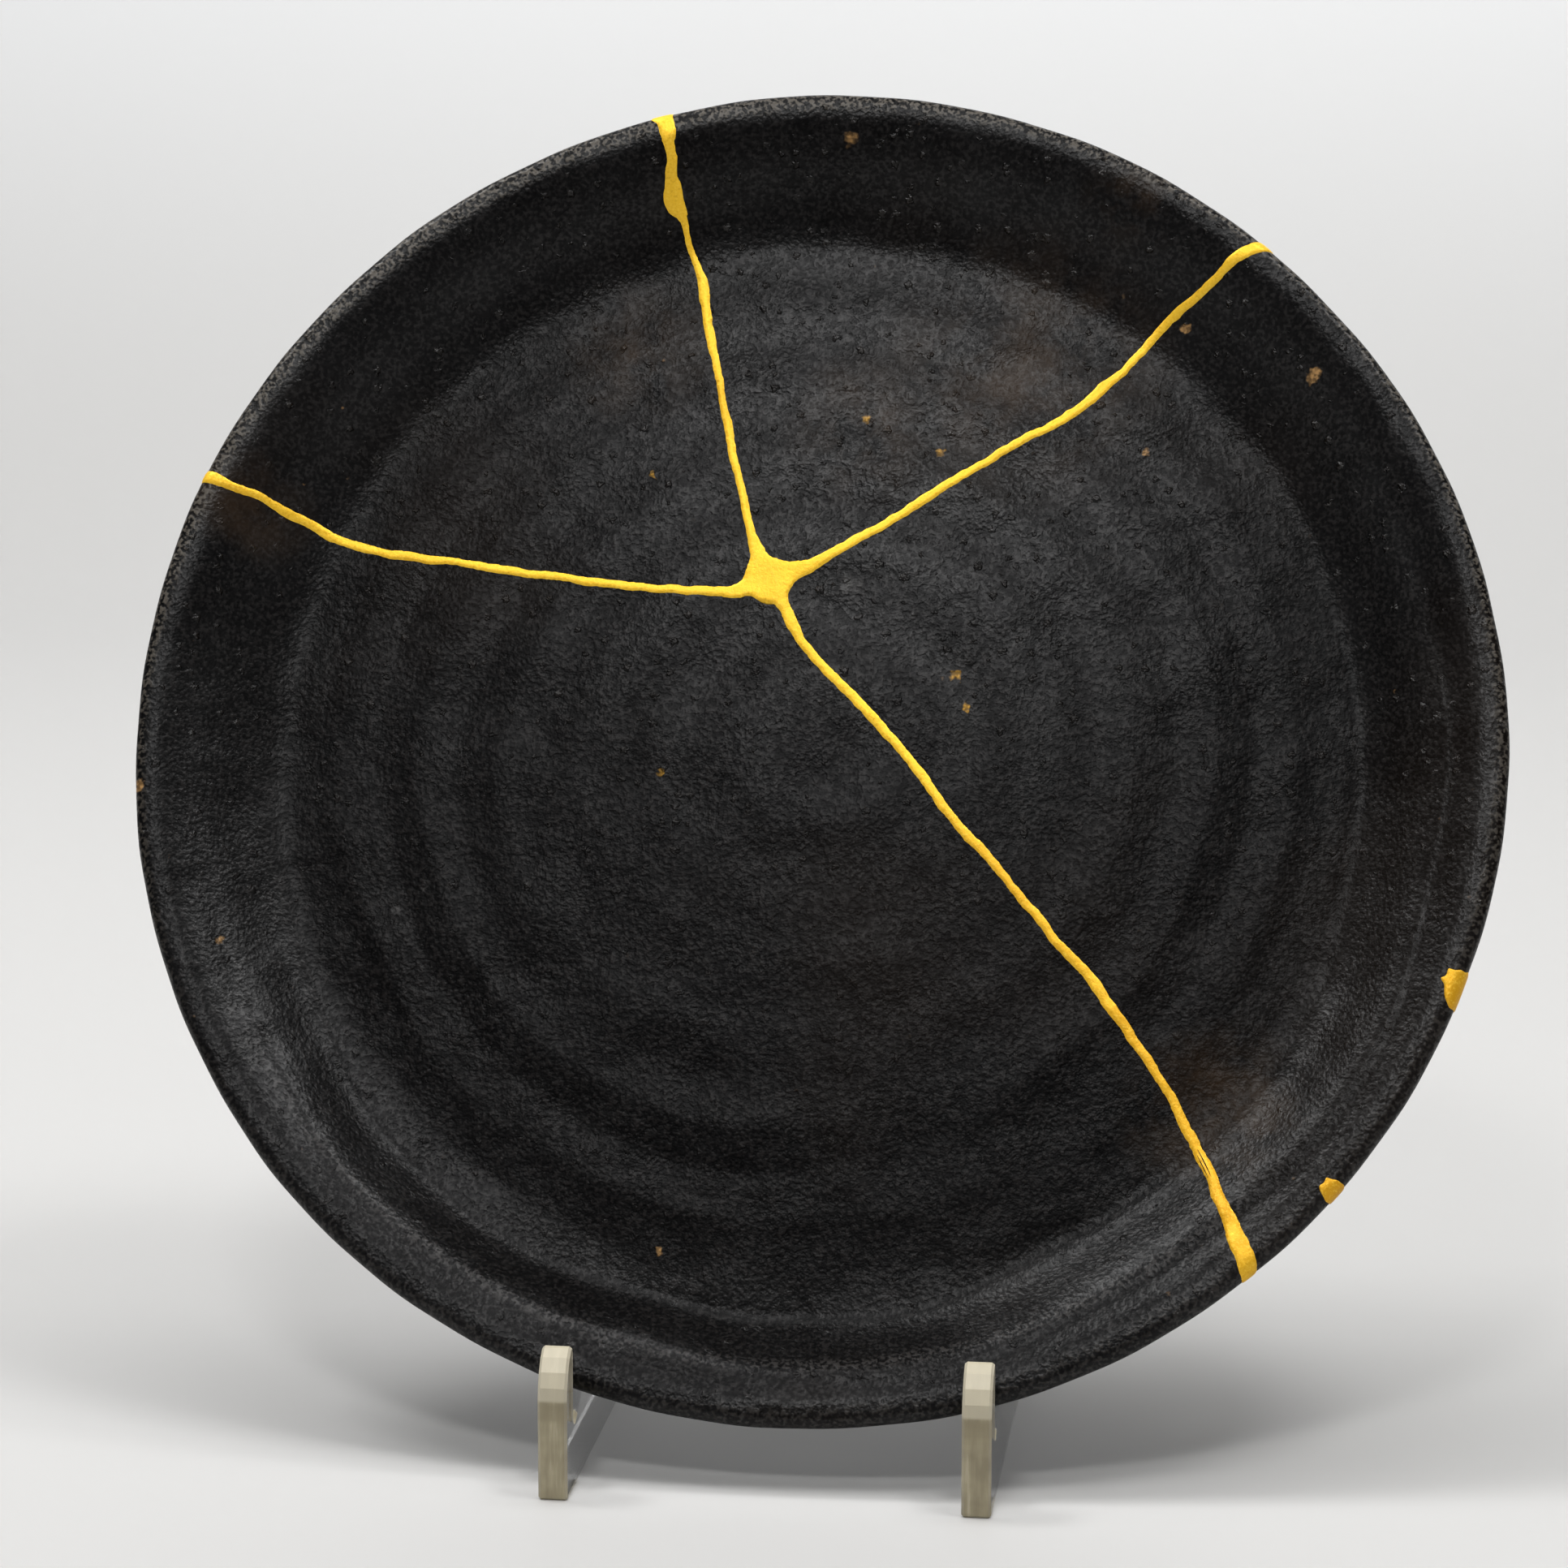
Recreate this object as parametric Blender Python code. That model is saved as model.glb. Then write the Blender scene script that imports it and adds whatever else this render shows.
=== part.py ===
"""Ceramic plate, broken in four and mended with gold, leaned back on a clear stand.

Metres, +Z up. The plate faces -Y. The origin is on the floor, midway between the
two sides of the stand and halfway along their bases.
"""

import math

import bmesh
import bpy
from mathutils import Matrix, Vector

# Plate, turned about its own axis, foot down
plateRadius = 0.110
rimWidth = 0.0092          # lip edge in to the ridge
coveWidth = 0.0150         # ridge in to the edge of the well
footInset = 0.038          # lip edge in to the outside of the foot ring
footWidth = 0.006
wellDepth = 0.0100         # lip down to the floor of the well
ridgeDrop = 0.0022         # lip down to the ridge
floorThickness = 0.0055
footHeight = 0.0015
lipThickness = 0.0046
ovalShare = 0.009          # the radius grows and shrinks by this share
ovalTurn = math.radians(-59)
turnSteps = 96

# Gold joint
seamWidth = 0.0016
beadHeight = 0.00035       # gold stands proud of both faces
jointGap = 0.0003

# Chips in the rim, filled with gold: place, length along the rim and depth
chipFills = {
    "gold_chip_fill_right": (math.radians(-20.8), 0.0064, 0.0028),
    "gold_chip_fill_lower": (math.radians(-40.2), 0.0036, 0.0024),
}

# Stand, two clear sides and two rods
plateLean = math.radians(27.4)
sideSpacing = 0.0643       # between the middles of the sides
sideThickness = 0.0045
postDepth = 0.0065
postHeight = 0.0155        # straight part of the post's front
postTop = 0.0228
lipRoom = 0.0032           # post to the lip of the plate
seatSlope = math.radians(27.4)
troughHeight = 0.0095      # floor to the bottom of the trough
baseHeight = 0.0062
supportWidth = 0.0120
supportReach = 0.020       # up the plate from its middle
edgeBevel = 0.0004
rodDiameter = 0.0050
rearInset = 0.011          # lower rod from the rear end

# Crack routes, from the pool outwards: across, up, both as shares of the plate's
# radius, and how many times the usual seam width
routes = {
    "upper_right": [(-0.030, 0.283, 1.1), (0.03, 0.315, 0.9), (0.12, 0.38, 1.0), (0.21, 0.44, 0.9),
                    (0.37, 0.54, 1.1), (0.47, 0.645, 1.0), (0.54, 0.71, 1.0), (0.61, 0.75, 1.2),
                    (0.645, 0.775, 1.5)],
    "top": [(-0.105, 0.325, 0.9), (-0.14, 0.42, 1.0), (-0.17, 0.54, 0.9), (-0.195, 0.64, 1.1),
            (-0.215, 0.74, 1.2), (-0.238, 0.82, 1.1), (-0.252, 0.86, 1.9), (-0.26, 0.89, 1.1),
            (-0.27, 0.94, 1.0), (-0.285, 0.985, 2.4)],
    "left": [(-0.150, 0.243, 0.9), (-0.34, 0.25, 1.0), (-0.49, 0.268, 0.9), (-0.61, 0.285, 1.0),
             (-0.74, 0.31, 1.0), (-0.82, 0.345, 0.9), (-0.88, 0.362, 1.0), (-0.935, 0.380, 1.5)],
    "lower_right": [(-0.055, 0.200, 1.2), (0.02, 0.11, 1.0), (0.16, -0.04, 1.1), (0.29, -0.19, 1.0),
                    (0.40, -0.32, 1.1), (0.49, -0.44, 1.0), (0.56, -0.55, 1.2), (0.615, -0.665, 1.4),
                    (0.655, -0.765, 1.9)],
}
# The pool's edge between one route and the next one round
poolEdge = {
    "upper_right": [(-0.045, 0.290), (-0.078, 0.302)],
    "top": [(-0.122, 0.285), (-0.135, 0.262)],
    "left": [(-0.120, 0.225), (-0.090, 0.212)],
    "lower_right": [(-0.056, 0.244)],
}
poolMiddle = Vector((-0.088, 0.256))
shardNames = {"upper_right": "shard_top", "top": "shard_left",
              "left": "shard_bottom", "lower_right": "shard_right"}

# What the sizes above give
plateHeight = wellDepth + floorThickness + footHeight
wellLevel = plateHeight - wellDepth
ridgeLevel = plateHeight - ridgeDrop
ridgeRadius = plateRadius - rimWidth
wellRadius = ridgeRadius - coveWidth
footRadius = plateRadius - footInset
routeNames = list(routes)


def clear_scene():
    for item in list(bpy.data.objects):
        bpy.data.objects.remove(item, do_unlink=True)


def make_material(name, colour, roughness, metallic=0.0, alpha=1.0):
    material = bpy.data.materials.new(name)
    material.use_nodes = True
    shader = material.node_tree.nodes["Principled BSDF"]
    shader.inputs["Base Color"].default_value = (*colour, 1.0)
    shader.inputs["Roughness"].default_value = roughness
    shader.inputs["Metallic"].default_value = metallic
    shader.inputs["Alpha"].default_value = alpha
    return material


def add_object(name, mesh, material=None, parent=None):
    item = bpy.data.objects.new(name, mesh)
    bpy.context.scene.collection.objects.link(item)
    if material:
        mesh.materials.append(material)
    item.parent = parent
    return item


def make_cutter(name, mesh, parent):
    item = add_object(name, mesh, parent=parent)
    item.hide_render = True
    item.display_type = "WIRE"
    return item


def add_boolean(item, cutter, operation):
    modifier = item.modifiers.new(cutter.name, "BOOLEAN")
    modifier.operation = operation
    modifier.solver = "EXACT"
    modifier.object = cutter


# Plate

def plate_profile():
    """Radius and height round the plate's wall, from the well's middle to the foot's."""
    points = [(0.0, wellLevel), (wellRadius, wellLevel)]
    for step in range(1, 7):
        share = step / 6
        rise = 0.35 * share + 0.65 * share ** 3
        points.append((wellRadius + coveWidth * share, wellLevel + (ridgeLevel - wellLevel) * rise))
    lipRound = lipThickness * 0.45
    points.append((plateRadius - lipRound * 1.6, plateHeight - lipRound * 0.12))
    for degrees in (70, 35, 0, -35, -75):
        turn = math.radians(degrees)
        points.append((plateRadius - lipRound + lipRound * math.cos(turn),
                       plateHeight - lipRound + lipRound * math.sin(turn)))
    # Outside wall, one wall's thickness under the cove, down to the foot ring
    underLip = plateHeight - lipThickness
    shoulder = footHeight * 1.2
    points.append((ridgeRadius, underLip - ridgeDrop * 0.9))
    points.append((ridgeRadius - coveWidth * 0.45, underLip - ridgeDrop - (underLip - shoulder) * 0.42))
    points.append((wellRadius - coveWidth * 0.12, shoulder + footHeight * 0.45))
    points.append((footRadius + footWidth * 0.2, shoulder))
    points.append((footRadius, 0.0))
    points.append((footRadius - footWidth, 0.0))
    points.append((footRadius - footWidth * 1.2, footHeight))
    points.append((0.0, footHeight))
    return points


def grow_profile(points, grow):
    """Move a profile out along its normals; the outside is on its left-hand side."""
    grown = []
    for index, (radius, height) in enumerate(points):
        before = Vector(points[max(index - 1, 0)])
        after = Vector(points[min(index + 1, len(points) - 1)])
        along = (after - before).normalized()
        grown.append((radius - along.y * grow if radius > 0 else 0.0, height + along.x * grow))
    return grown


def oval_factor(angle):
    return 1 + ovalShare * math.cos(2 * (angle - ovalTurn))


def turned_mesh(name, points):
    """Turn a profile once round the axis, a little oval."""
    shell = bmesh.new()
    verts = [shell.verts.new((radius, 0.0, height)) for radius, height in points]
    edges = [shell.edges.new(pair) for pair in zip(verts, verts[1:])]
    bmesh.ops.spin(shell, geom=verts + edges, cent=(0, 0, 0), axis=(0, 0, 1),
                   angle=math.tau, steps=turnSteps, use_merge=True)
    bmesh.ops.remove_doubles(shell, verts=shell.verts, dist=0.00001)
    bmesh.ops.recalc_face_normals(shell, faces=shell.faces)
    for vert in shell.verts:
        factor = oval_factor(math.atan2(vert.co.y, vert.co.x))
        vert.co.x *= factor
        vert.co.y *= factor
    mesh = bpy.data.meshes.new(name)
    shell.to_mesh(mesh)
    shell.free()
    mesh.shade_smooth()
    mesh.set_sharp_from_angle(angle=math.radians(40))
    return mesh


def prism_mesh(name, outline, low, high):
    """Raise an anticlockwise outline from one height to another."""
    shell = bmesh.new()
    face = shell.faces.new([shell.verts.new((x, y, low)) for x, y in outline])
    raised = bmesh.ops.extrude_face_region(shell, geom=[face])
    for item in raised["geom"]:
        if isinstance(item, bmesh.types.BMVert):
            item.co.z = high
    bmesh.ops.recalc_face_normals(shell, faces=shell.faces)
    mesh = bpy.data.meshes.new(name)
    shell.to_mesh(mesh)
    shell.free()
    return mesh


# Cracks, seen from the front of the plate

def route_points(name):
    """A route's points in metres, with one more well past the rim."""
    points = [(Vector((x, y)) * plateRadius, width) for x, y, width in routes[name]]
    end, width = points[-1]
    outwards = (end - points[-2][0]).normalized()
    points.append((end + outwards * plateRadius * 0.12, width))
    return points


def route_side(name, left, room):
    """One edge of a route, from the pool outwards, `room` away from the gold."""
    points = route_points(name)
    sign = 1 if left else -1
    edge = []
    for index, (point, width) in enumerate(points):
        before = points[max(index - 1, 0)][0]
        after = points[min(index + 1, len(points) - 1)][0]
        into = (point - before).normalized() if index else (after - point).normalized()
        out = (after - point).normalized() if index < len(points) - 1 else into
        along = (into + out).normalized()
        across = Vector((-along.y, along.x)) * sign
        reach = (seamWidth * width / 2 + room) / max(into.dot(along), 0.5)
        edge.append(point + across * reach)
    return edge


def pool_side(name, room):
    """The pool's edge after one route, `room` away from the gold."""
    edge = []
    for x, y in poolEdge[name]:
        outwards = (Vector((x, y)) - poolMiddle).normalized()
        edge.append(Vector((x, y)) * plateRadius + outwards * room * 1.4)
    return edge


def seam_outline():
    outline = []
    for name in routeNames:
        outline += route_side(name, False, 0.0)
        outline += reversed(route_side(name, True, 0.0))
        outline += pool_side(name, 0.0)
    return outline


def shard_outline(name):
    """The shard between a route and the next one round."""
    following = routeNames[(routeNames.index(name) + 1) % len(routeNames)]
    first = route_side(name, True, jointGap)
    last = route_side(following, False, jointGap)
    start = math.atan2(first[-1].y, first[-1].x)
    sweep = (math.atan2(last[-1].y, last[-1].x) - start) % math.tau
    arcRadius = plateRadius * 1.3
    steps = max(3, round(sweep / math.radians(15)))
    arc = [Vector((math.cos(start + sweep * step / steps), math.sin(start + sweep * step / steps)))
           * arcRadius for step in range(steps + 1)]
    return first + arc + list(reversed(last)) + list(reversed(pool_side(name, jointGap)))


def chip_outline(angle, length, depth, room):
    """A chip's edge: a bay in the rim, `room` smaller all round."""
    radius = plateRadius * oval_factor(angle)
    inwards = [(-0.62, -1.0), (-0.5, 0.35), (-0.24, 0.86), (0.06, 1.0), (0.33, 0.72), (0.5, 0.2), (0.6, -1.0)]
    outline = []
    for along, inside in inwards:
        reach = radius - depth * inside + (room if inside > 0 else 0.0)
        side = along * length - math.copysign(room, along)
        outline.append((reach * math.cos(angle) - side * math.sin(angle),
                        reach * math.sin(angle) + side * math.cos(angle)))
    return outline


def build_plate(parent):
    clay = make_material("black_ceramic", (0.012, 0.010, 0.009), 0.42)
    gold = make_material("repair_gold", (0.83, 0.47, 0.07), 0.34, metallic=1.0)
    profile = plate_profile()
    low, high = -plateHeight, plateHeight * 2
    chipCutters = []
    for name, (angle, length, depth) in chipFills.items():
        bay = prism_mesh(name + "_bay", chip_outline(angle, length, depth, 0.0), low, high)
        chipCutters.append(make_cutter(name + "_bay", bay, parent))
        fill = add_object(name, turned_mesh(name, grow_profile(profile, beadHeight)), gold, parent)
        plug = prism_mesh(name + "_plug", chip_outline(angle, length, depth, jointGap), low, high)
        add_boolean(fill, make_cutter(name + "_plug", plug, parent), "INTERSECT")
    for name in routeNames:
        shard = add_object(shardNames[name], turned_mesh(shardNames[name], profile), clay, parent)
        sector = prism_mesh(shardNames[name] + "_sector", shard_outline(name), low, high)
        add_boolean(shard, make_cutter(shardNames[name] + "_sector", sector, parent), "INTERSECT")
        if shardNames[name] == "shard_right":
            for cutter in chipCutters:
                add_boolean(shard, cutter, "DIFFERENCE")
    seam = add_object("gold_seam", turned_mesh("gold_seam", grow_profile(profile, beadHeight)), gold, parent)
    network = prism_mesh("gold_seam_network", seam_outline(), low, high)
    add_boolean(seam, make_cutter("gold_seam_network", network, parent), "INTERSECT")


# Stand, seen from its side: y to the back and z up

def leaned(up, out):
    """A point `up` the plate from its middle and `out` in front of its lip, from the side."""
    return Vector((up * math.sin(plateLean) - out * math.cos(plateLean),
                   up * math.cos(plateLean) + out * math.sin(plateLean)))


def plate_section():
    """The lower half of the plate where it passes the inner face of a side."""
    across = sideSpacing / 2 - sideThickness / 2
    section = []
    for radius, height in plate_profile():
        radius *= 1 + ovalShare
        if radius > across:
            section.append(leaned(-math.sqrt(radius ** 2 - across ** 2), height - plateHeight))
    return section


def round_corner(points, radius, steps=4):
    """Round the middle one of three points."""
    before, corner, after = (Vector(point) for point in points)
    into = (before - corner).normalized()
    out = (after - corner).normalized()
    half = into.angle(out) / 2
    setback = radius / math.tan(half)
    middle = corner + (into + out).normalized() * radius / math.sin(half)
    start = corner + into * setback - middle
    sweep = start.angle_signed(corner + out * setback - middle)
    return [middle + Matrix.Rotation(-sweep * step / steps, 2) @ start for step in range(steps + 1)]


def stand_layout():
    """The sizes of the stand that follow from the plate that it holds."""
    section = plate_section()
    slope = math.tan(seatSlope)
    frontOfLip = min(point.x for point in section)
    seatLine = min(point.y - slope * point.x for point in section) - jointGap / math.cos(seatSlope)
    trough = frontOfLip - lipRoom
    lift = troughHeight - (seatLine + slope * trough)
    front = trough - postDepth
    return {"lift": lift, "trough": trough, "front": front, "rear": -front}


def side_outline(layout):
    front, rear, trough = layout["front"], layout["rear"], layout["trough"]
    middle = Vector((0.0, layout["lift"]))
    slope = math.tan(seatSlope)
    supportFace = -plateHeight - jointGap
    # Where the seat meets the line of the support's front
    foot = middle + leaned(0.0, supportFace)
    up = Vector((math.sin(plateLean), math.cos(plateLean)))
    run = (troughHeight + slope * (foot.x - trough) - foot.y) / (up.y - slope * up.x)
    meeting = foot + up * run
    topFront = middle + leaned(supportReach, supportFace)
    topBack = middle + leaned(supportReach, supportFace - supportWidth)
    backFoot = topBack - up * ((topBack.y - baseHeight) / up.y)
    crown = postTop - postHeight
    outline = [Vector((front, 0.0)), Vector((front, postHeight))]
    outline += [Vector((front + postDepth * across, postHeight + crown * rise))
                for across, rise in ((0.06, 0.28), (0.22, 0.58), (0.46, 0.84), (0.70, 0.98), (0.88, 1.0), (1.0, 0.84))]
    outline += [Vector((trough - postDepth * 0.04, postHeight))]
    outline += round_corner([(trough, postHeight), (trough, troughHeight), meeting], 0.0010)
    outline += round_corner([(trough, troughHeight), meeting, topFront], 0.004)
    outline += round_corner([meeting, topFront, topBack], supportWidth * 0.4)
    outline += round_corner([topFront, topBack, backFoot], supportWidth * 0.4)
    outline += round_corner([topBack, backFoot, (rear, baseHeight)], 0.014, 5)
    outline += round_corner([backFoot, (rear, baseHeight), (rear, 0.0)], baseHeight * 0.5)
    outline += [Vector((rear, 0.0))]
    return outline


def build_side(name, across, outline, material):
    shell = bmesh.new()
    half = sideThickness / 2
    face = shell.faces.new([shell.verts.new((-half, y, z)) for y, z in outline])
    raised = bmesh.ops.extrude_face_region(shell, geom=[face])
    for item in raised["geom"]:
        if isinstance(item, bmesh.types.BMVert):
            item.co.x = half
    bmesh.ops.recalc_face_normals(shell, faces=shell.faces)
    mesh = bpy.data.meshes.new(name)
    shell.to_mesh(mesh)
    shell.free()
    side = add_object(name, mesh, material)
    side.location = (across, 0.0, 0.0)
    bevel = side.modifiers.new("eased_edges", "BEVEL")
    bevel.width = edgeBevel
    bevel.segments = 1
    bevel.limit_method = "ANGLE"
    bevel.angle_limit = math.radians(60)
    return side


def build_rod(name, place, material):
    length = sideSpacing - sideThickness - 2 * jointGap
    shell = bmesh.new()
    bmesh.ops.create_cone(shell, cap_ends=True, segments=24, radius1=rodDiameter / 2,
                          radius2=rodDiameter / 2, depth=length)
    mesh = bpy.data.meshes.new(name)
    shell.to_mesh(mesh)
    shell.free()
    mesh.shade_smooth()
    mesh.set_sharp_from_angle(angle=math.radians(40))
    rod = add_object(name, mesh, material)
    rod.location = (0.0, place.x, place.y)
    rod.rotation_euler = (0.0, math.radians(90), 0.0)


def build_stand(layout):
    acrylic = make_material("clear_acrylic", (0.90, 0.91, 0.90), 0.08, alpha=0.3)
    outline = side_outline(layout)
    build_side("stand_side_left", -sideSpacing / 2, outline, acrylic)
    build_side("stand_side_right", sideSpacing / 2, outline, acrylic)
    build_rod("stand_rod_lower", Vector((layout["rear"] - rearInset, baseHeight / 2)), acrylic)
    middle = Vector((0.0, layout["lift"]))
    behind = -plateHeight - jointGap - supportWidth / 2
    build_rod("stand_rod_upper", middle + leaned(supportReach - supportWidth, behind), acrylic)


def build():
    clear_scene()
    layout = stand_layout()
    pose = bpy.data.objects.new("plate_pose", None)
    bpy.context.scene.collection.objects.link(pose)
    footPlace = leaned(0.0, -plateHeight)
    pose.location = (0.0, footPlace.x, layout["lift"] + footPlace.y)
    pose.rotation_euler = (math.pi / 2 - plateLean, 0.0, 0.0)
    build_plate(pose)
    build_stand(layout)


build()
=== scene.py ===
import math

import bpy
import numpy as np
from mathutils import Matrix, Vector


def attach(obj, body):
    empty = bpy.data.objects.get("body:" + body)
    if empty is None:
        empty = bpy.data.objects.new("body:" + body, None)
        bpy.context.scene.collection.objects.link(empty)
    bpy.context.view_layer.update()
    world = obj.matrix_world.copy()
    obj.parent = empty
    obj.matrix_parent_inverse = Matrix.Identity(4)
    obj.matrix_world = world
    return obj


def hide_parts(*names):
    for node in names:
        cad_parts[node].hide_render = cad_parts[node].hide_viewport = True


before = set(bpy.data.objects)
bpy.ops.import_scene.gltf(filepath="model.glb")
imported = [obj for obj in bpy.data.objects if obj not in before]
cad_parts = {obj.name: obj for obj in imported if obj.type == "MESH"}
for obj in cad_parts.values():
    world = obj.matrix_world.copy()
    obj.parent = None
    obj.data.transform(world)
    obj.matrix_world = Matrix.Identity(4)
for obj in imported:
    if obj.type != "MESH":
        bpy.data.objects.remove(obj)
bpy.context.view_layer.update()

print("frame loaded:", len(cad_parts), "nodes")

# The plate's own place: x across, y up the plate, z out of its face, in metres from the foot.
plate = {
    "radius": 0.110,
    "lean": 27.4,            # degrees back from upright
    "middleHeight": 0.10874,  # floor to the middle of the lip's plane
    "height": 0.017,
    "wellLevel": 0.007,
    "wellRadius": 0.0858,
    "ridgeRadius": 0.1008,
    "ridgeLevel": 0.0148,
    "lipThickness": 0.0046,
    "footRadius": 0.072,
    "footWidth": 0.006,
    "footHeight": 0.0015,
    "ovalShare": 0.009,
    "ovalTurn": -59.0,
}
leanAngle = math.radians(plate["lean"])
acrossAxis = np.array([1.0, 0.0, 0.0])
upAxis = np.array([0.0, math.sin(leanAngle), math.cos(leanAngle)])
outAxis = np.array([0.0, -math.cos(leanAngle), math.sin(leanAngle)])
plateOrigin = np.array([0.0, 0.0, plate["middleHeight"]]) - outAxis * plate["height"]
radius = plate["radius"]


def ovalFactor(angle):
    return 1 + plate["ovalShare"] * np.cos(2 * (angle - math.radians(plate["ovalTurn"])))


def toWorld(x, y, z):
    # A point of the plate's own place, made oval and carried into the room.
    grown = ovalFactor(np.arctan2(y, x))
    x, y = x * grown, y * grown
    return plateOrigin + x[..., None] * acrossAxis + y[..., None] * upAxis + z[..., None] * outAxis


def softNoise(x, y, size, seed, waves=9):
    # Sum of plane waves in seeded directions, about `size` long, between about -1 and 1.
    chance = np.random.default_rng(seed)
    total = np.zeros(np.broadcast(x, y).shape)
    for turn, phase, stretch in chance.uniform(0, 1, (waves, 3)):
        length = size * (0.65 + 0.8 * stretch)
        along = x * math.cos(turn * math.tau) + y * math.sin(turn * math.tau)
        total += np.sin(along / length * math.tau + phase * math.tau)
    return total / math.sqrt(waves) / 1.2


def makePiece(name, corners, faces, material, slot, *nodes):
    # Faces by corner number, smooth, riding on the one body and standing for its CAD nodes.
    mesh = bpy.data.meshes.new(name)
    mesh.from_pydata(corners.tolist(), [], faces)
    mesh.validate()
    mesh.shade_smooth()
    mesh.materials.append(material)
    piece = bpy.data.objects.new(name, mesh)
    bpy.context.scene.collection.objects.link(piece)
    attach(piece, "root")
    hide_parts(*nodes)
    return piece


# Materials

def addNode(tree, kind, **values):
    node = tree.nodes.new(kind)
    for key, value in values.items():
        if key in node.inputs:
            node.inputs[key].default_value = value
        else:
            setattr(node, key, value)
    return node


def mathNode(tree, operation, first, second=None, clamp=False):
    node = tree.nodes.new("ShaderNodeMath")
    node.operation = operation
    node.use_clamp = clamp
    for socket, value in zip(node.inputs, (first, second)):
        if value is None:
            continue
        if isinstance(value, (int, float)):
            socket.default_value = value
        else:
            tree.links.new(value, socket)
    return node.outputs[0]


def vectorNode(tree, operation, *values):
    node = tree.nodes.new("ShaderNodeVectorMath")
    node.operation = operation
    for socket, value in zip(node.inputs, values):
        if isinstance(value, tuple):
            socket.default_value = value
        else:
            tree.links.new(value, socket)
    return node.outputs["Value" if operation in ("DISTANCE", "LENGTH", "DOT_PRODUCT") else "Vector"]


def split(tree, value, kind="XYZ"):
    node = tree.nodes.new("ShaderNodeSeparate" + kind)
    tree.links.new(value, node.inputs[0])
    return node.outputs


def largest(tree, masks):
    total = masks[0]
    for mask in masks[1:]:
        total = mathNode(tree, "MAXIMUM", total, mask)
    return total


def mixColour(tree, factor, first, second):
    node = tree.nodes.new("ShaderNodeMix")
    node.data_type = "RGBA"
    for index, value in ((0, factor), (6, first), (7, second)):
        if isinstance(value, (int, float)):
            node.inputs[index].default_value = value
        elif isinstance(value, tuple):
            node.inputs[index].default_value = (*value, 1.0)
        else:
            tree.links.new(value, node.inputs[index])
    return node.outputs[2]


def remap(tree, value, low, high, toLow=0.0, toHigh=1.0, smooth=False):
    node = tree.nodes.new("ShaderNodeMapRange")
    node.interpolation_type = "SMOOTHSTEP" if smooth else "LINEAR"
    tree.links.new(value, node.inputs["Value"])
    for key, number in (("From Min", low), ("From Max", high), ("To Min", toLow), ("To Max", toHigh)):
        node.inputs[key].default_value = number
    return node.outputs["Result"]


def platePlace(tree):
    # Object coordinates turned into the plate's own place: across, up and out.
    coordinates = tree.nodes.new("ShaderNodeTexCoord")
    mapping = tree.nodes.new("ShaderNodeMapping")
    turn = Matrix((tuple(acrossAxis), tuple(upAxis), tuple(outAxis)))
    mapping.inputs["Rotation"].default_value = turn.to_euler("XYZ")
    mapping.inputs["Location"].default_value = -(turn @ Vector(plateOrigin))
    tree.links.new(coordinates.outputs["Object"], mapping.inputs["Vector"])
    return mapping.outputs["Vector"]


def newMaterial(name):
    material = bpy.data.materials.new(name)
    material.use_nodes = True
    return material, material.node_tree, material.node_tree.nodes["Principled BSDF"]


def newGroup(name, vectors, numbers, results):
    group = bpy.data.node_groups.new(name, "ShaderNodeTree")
    rows = ((vectors, "INPUT", "Vector"), (numbers, "INPUT", "Float"), (results, "OUTPUT", "Float"))
    for names, way, kind in rows:
        for socketName in names:
            group.interface.new_socket(socketName, in_out=way, socket_type="NodeSocket" + kind)
    entry = group.nodes.new("NodeGroupInput")
    leave = group.nodes.new("NodeGroupOutput")
    return group, entry.outputs, leave.inputs


def spotGroup():
    # A soft round spot: 1 within Radius of Centre, fading out over Edge.
    group, entry, leave = newGroup("softSpot", ("Place", "Centre"), ("Radius", "Edge"), ("Mask",))
    flat = vectorNode(group, "MULTIPLY", entry["Place"], (1, 1, 0))
    gap = vectorNode(group, "DISTANCE", flat, entry["Centre"])
    outside = mathNode(group, "SUBTRACT", gap, entry["Radius"])
    share = mathNode(group, "DIVIDE", outside, entry["Edge"])
    group.links.new(mathNode(group, "SUBTRACT", 1.0, share, clamp=True), leave["Mask"])
    return group


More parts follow.
